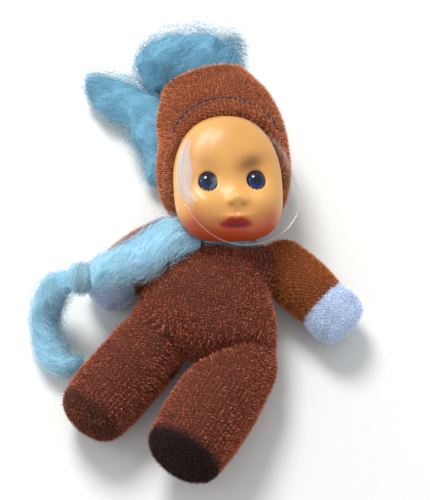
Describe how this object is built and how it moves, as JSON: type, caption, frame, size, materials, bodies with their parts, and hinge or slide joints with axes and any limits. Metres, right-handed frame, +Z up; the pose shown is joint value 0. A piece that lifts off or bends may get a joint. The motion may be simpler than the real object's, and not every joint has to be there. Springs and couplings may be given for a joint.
{
  "type": "miniature doll",
  "caption": "Miniature stuffed doll lying on its back: plush suit and hood, moulded face with glossy eyes, pale mittens, wool scarf and tuft, clear film over the face; head and limbs turn.",
  "frame": {"origin": "the middle of the flat patch on the back of the body that the doll lies on", "axes": "+X to the doll's left, +Y from the seat to the head, +Z up out of the belly"},
  "size_m": [0.0925, 0.1407, 0.0427],
  "materials": {
    "suit_plush": "short dark brown pile",
    "hood_knit": "fuzzy ribbed knit",
    "sleeve_plush": "fine short pile",
    "mitten_plush": "pale fine ribbed pile",
    "polyester_fill": "soft white fill",
    "face_vinyl": "moulded, glossy, with a painted mouth",
    "eye_plastic": "polished navy",
    "film_plastic": "clear, glossy",
    "navy_thread": "twisted sewing thread",
    "wool_roving": "loose combed fibre"
  },
  "bodies": {
    "torso": {"torso_skin": "suit_plush", "torso_stuffing": "polyester_fill", "scarf_band": "wool_roving", "scarf_knot": "wool_roving", "scarf_tail": "wool_roving", "scarf_wrap": "wool_roving"},
    "head": {"hood": "hood_knit", "head_stuffing": "polyester_fill", "face_mask": "face_vinyl", "eye_left": "eye_plastic", "eye_right": "eye_plastic", "clear_film": "film_plastic", "hem_stitching": "navy_thread", "crown_thread": "navy_thread", "tuft_top": "wool_roving", "tuft_side": "wool_roving"},
    "arm_left": {"sleeve_left": "sleeve_plush", "mitten_left": "mitten_plush", "arm_stuffing_left": "polyester_fill"},
    "arm_right": {"sleeve_right": "sleeve_plush", "mitten_right": "mitten_plush", "arm_stuffing_right": "polyester_fill"},
    "leg_left": {"leg_skin_left": "suit_plush", "leg_stuffing_left": "polyester_fill"},
    "leg_right": {"leg_skin_right": "suit_plush", "leg_stuffing_right": "polyester_fill"}
  },
  "joints": [
    {"name": "neck_turn", "type": "hinge", "parent": "torso", "child": "head", "pos_m": [0.001, 0.0196, 0.01277], "axis": [-0.2366, 0.9491, 0.2079], "range_deg": [-15, 30], "stiffness_Nm_per_rad": 0.03},
    {"name": "shoulder_left", "type": "hinge", "parent": "torso", "child": "arm_left", "pos_m": [0.0168, 0.019, 0.0102], "axis": [0, 0, 1], "range_deg": [-15, 55], "stiffness_Nm_per_rad": 0.02},
    {"name": "shoulder_right", "type": "hinge", "parent": "torso", "child": "arm_right", "pos_m": [-0.0168, 0.019, 0.0102], "axis": [0, 0, -1], "range_deg": [-10, 25], "stiffness_Nm_per_rad": 0.02},
    {"name": "hip_left", "type": "hinge", "parent": "torso", "child": "leg_left", "pos_m": [0.0108, -0.013, 0.01096], "axis": [-0.9397, 0.342, 0], "range_deg": [-6, 60], "stiffness_Nm_per_rad": 0.03},
    {"name": "hip_right", "type": "hinge", "parent": "torso", "child": "leg_right", "pos_m": [-0.0132, -0.013, 0.00994], "axis": [-0.8829, 0.4695, 0], "range_deg": [-6, 60], "stiffness_Nm_per_rad": 0.03}
  ]
}
